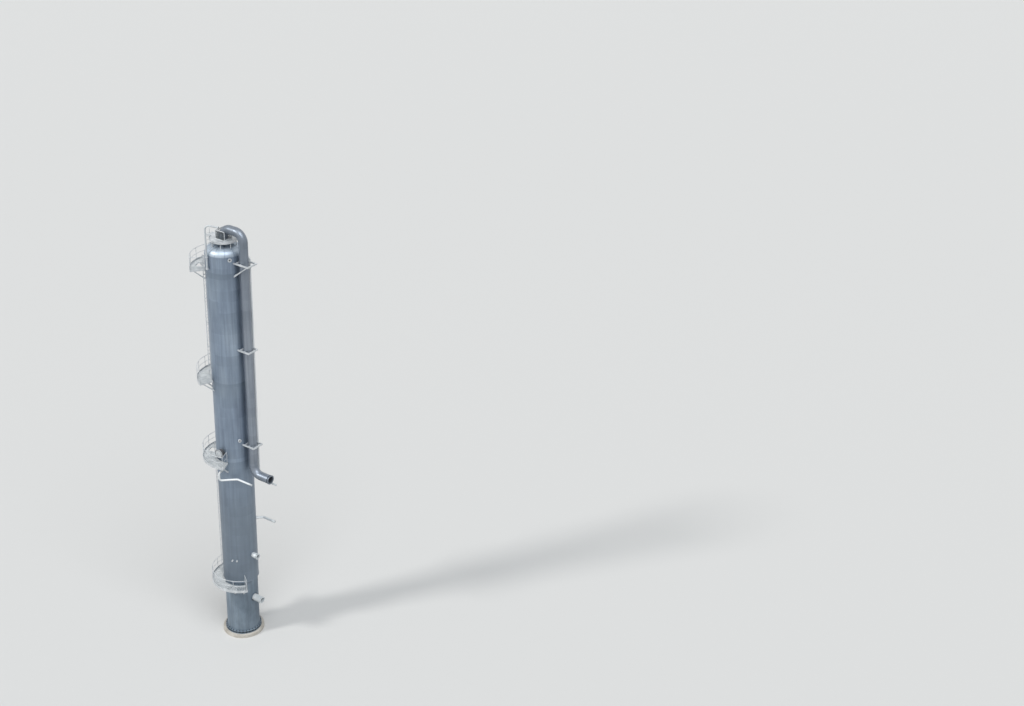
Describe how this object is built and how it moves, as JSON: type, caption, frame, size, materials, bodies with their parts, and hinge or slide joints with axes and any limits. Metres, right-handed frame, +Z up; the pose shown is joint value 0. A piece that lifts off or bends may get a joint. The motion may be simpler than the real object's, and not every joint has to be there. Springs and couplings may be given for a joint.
{
  "type": "distillation column",
  "caption": "Tall insulated distillation column on a skirt, with sector platforms, ladders, an overhead vapour line and a swing davit",
  "frame": {"origin": "middle of the plinth's underside, on the column's axis", "axes": "+Z up along the column; +X towards the downcomer of the vapour line and the ends of all the lines; +Y follows the right-hand rule"},
  "size_m": [6.8198, 4.5757, 39.925],
  "materials": {
    "jacket_aluminium": "weathered sheet metal over insulation",
    "skirt_paint": "weathered slate-blue paint",
    "galvanised": "dull hot-dip galvanised",
    "guard_paint": "pale paint",
    "davit_paint": "pale paint",
    "bolting": "oiled bolts",
    "bare_steel": "mill steel",
    "concrete": "cast, slightly stained"
  },
  "bodies": {
    "column": {"plinth": "concrete", "base_ring": "skirt_paint", "anchor_bolts": "bolting", "skirt": "skirt_paint", "bottom_head": "bare_steel", "bottom_line": "jacket_aluminium", "shell": "bare_steel", "jacket": "jacket_aluminium", "top_head": "bare_steel", "head_jacket": "jacket_aluminium", "vapour_line": "jacket_aluminium", "pipe_bracket_upper": "galvanised", "pipe_bracket_middle": "galvanised", "pipe_bracket_lower": "galvanised", "reflux_line": "jacket_aluminium", "feed_line": "jacket_aluminium", "draw_off_line": "jacket_aluminium", "reboiler_return": "jacket_aluminium", "manway": "bare_steel", "manway_cover": "galvanised", "instrument_nozzles": "galvanised", "davit_brackets": "galvanised", "top_deck": "galvanised", "top_deck_legs": "galvanised", "riser_guard": "guard_paint", "lower_deck": "galvanised", "lower_brackets": "galvanised", "lower_railing": "galvanised", "mid_deck": "galvanised", "mid_brackets": "galvanised", "mid_railing": "galvanised", "second_deck": "galvanised", "second_brackets": "galvanised", "second_railing": "galvanised", "upper_deck": "galvanised", "upper_brackets": "galvanised", "upper_railing": "galvanised", "ladder_1": "galvanised", "ladder_2": "galvanised", "ladder_3": "galvanised", "ladder_4": "galvanised", "ladder_5": "galvanised"},
    "davit": {"davit": "davit_paint"}
  },
  "joints": [
    {"name": "davit_swing", "type": "hinge", "parent": "column", "child": "davit", "pos_m": [-0.3514, -1.6531, 36.06], "axis": [0, 0, 1], "range_deg": [-180, 30]}
  ]
}
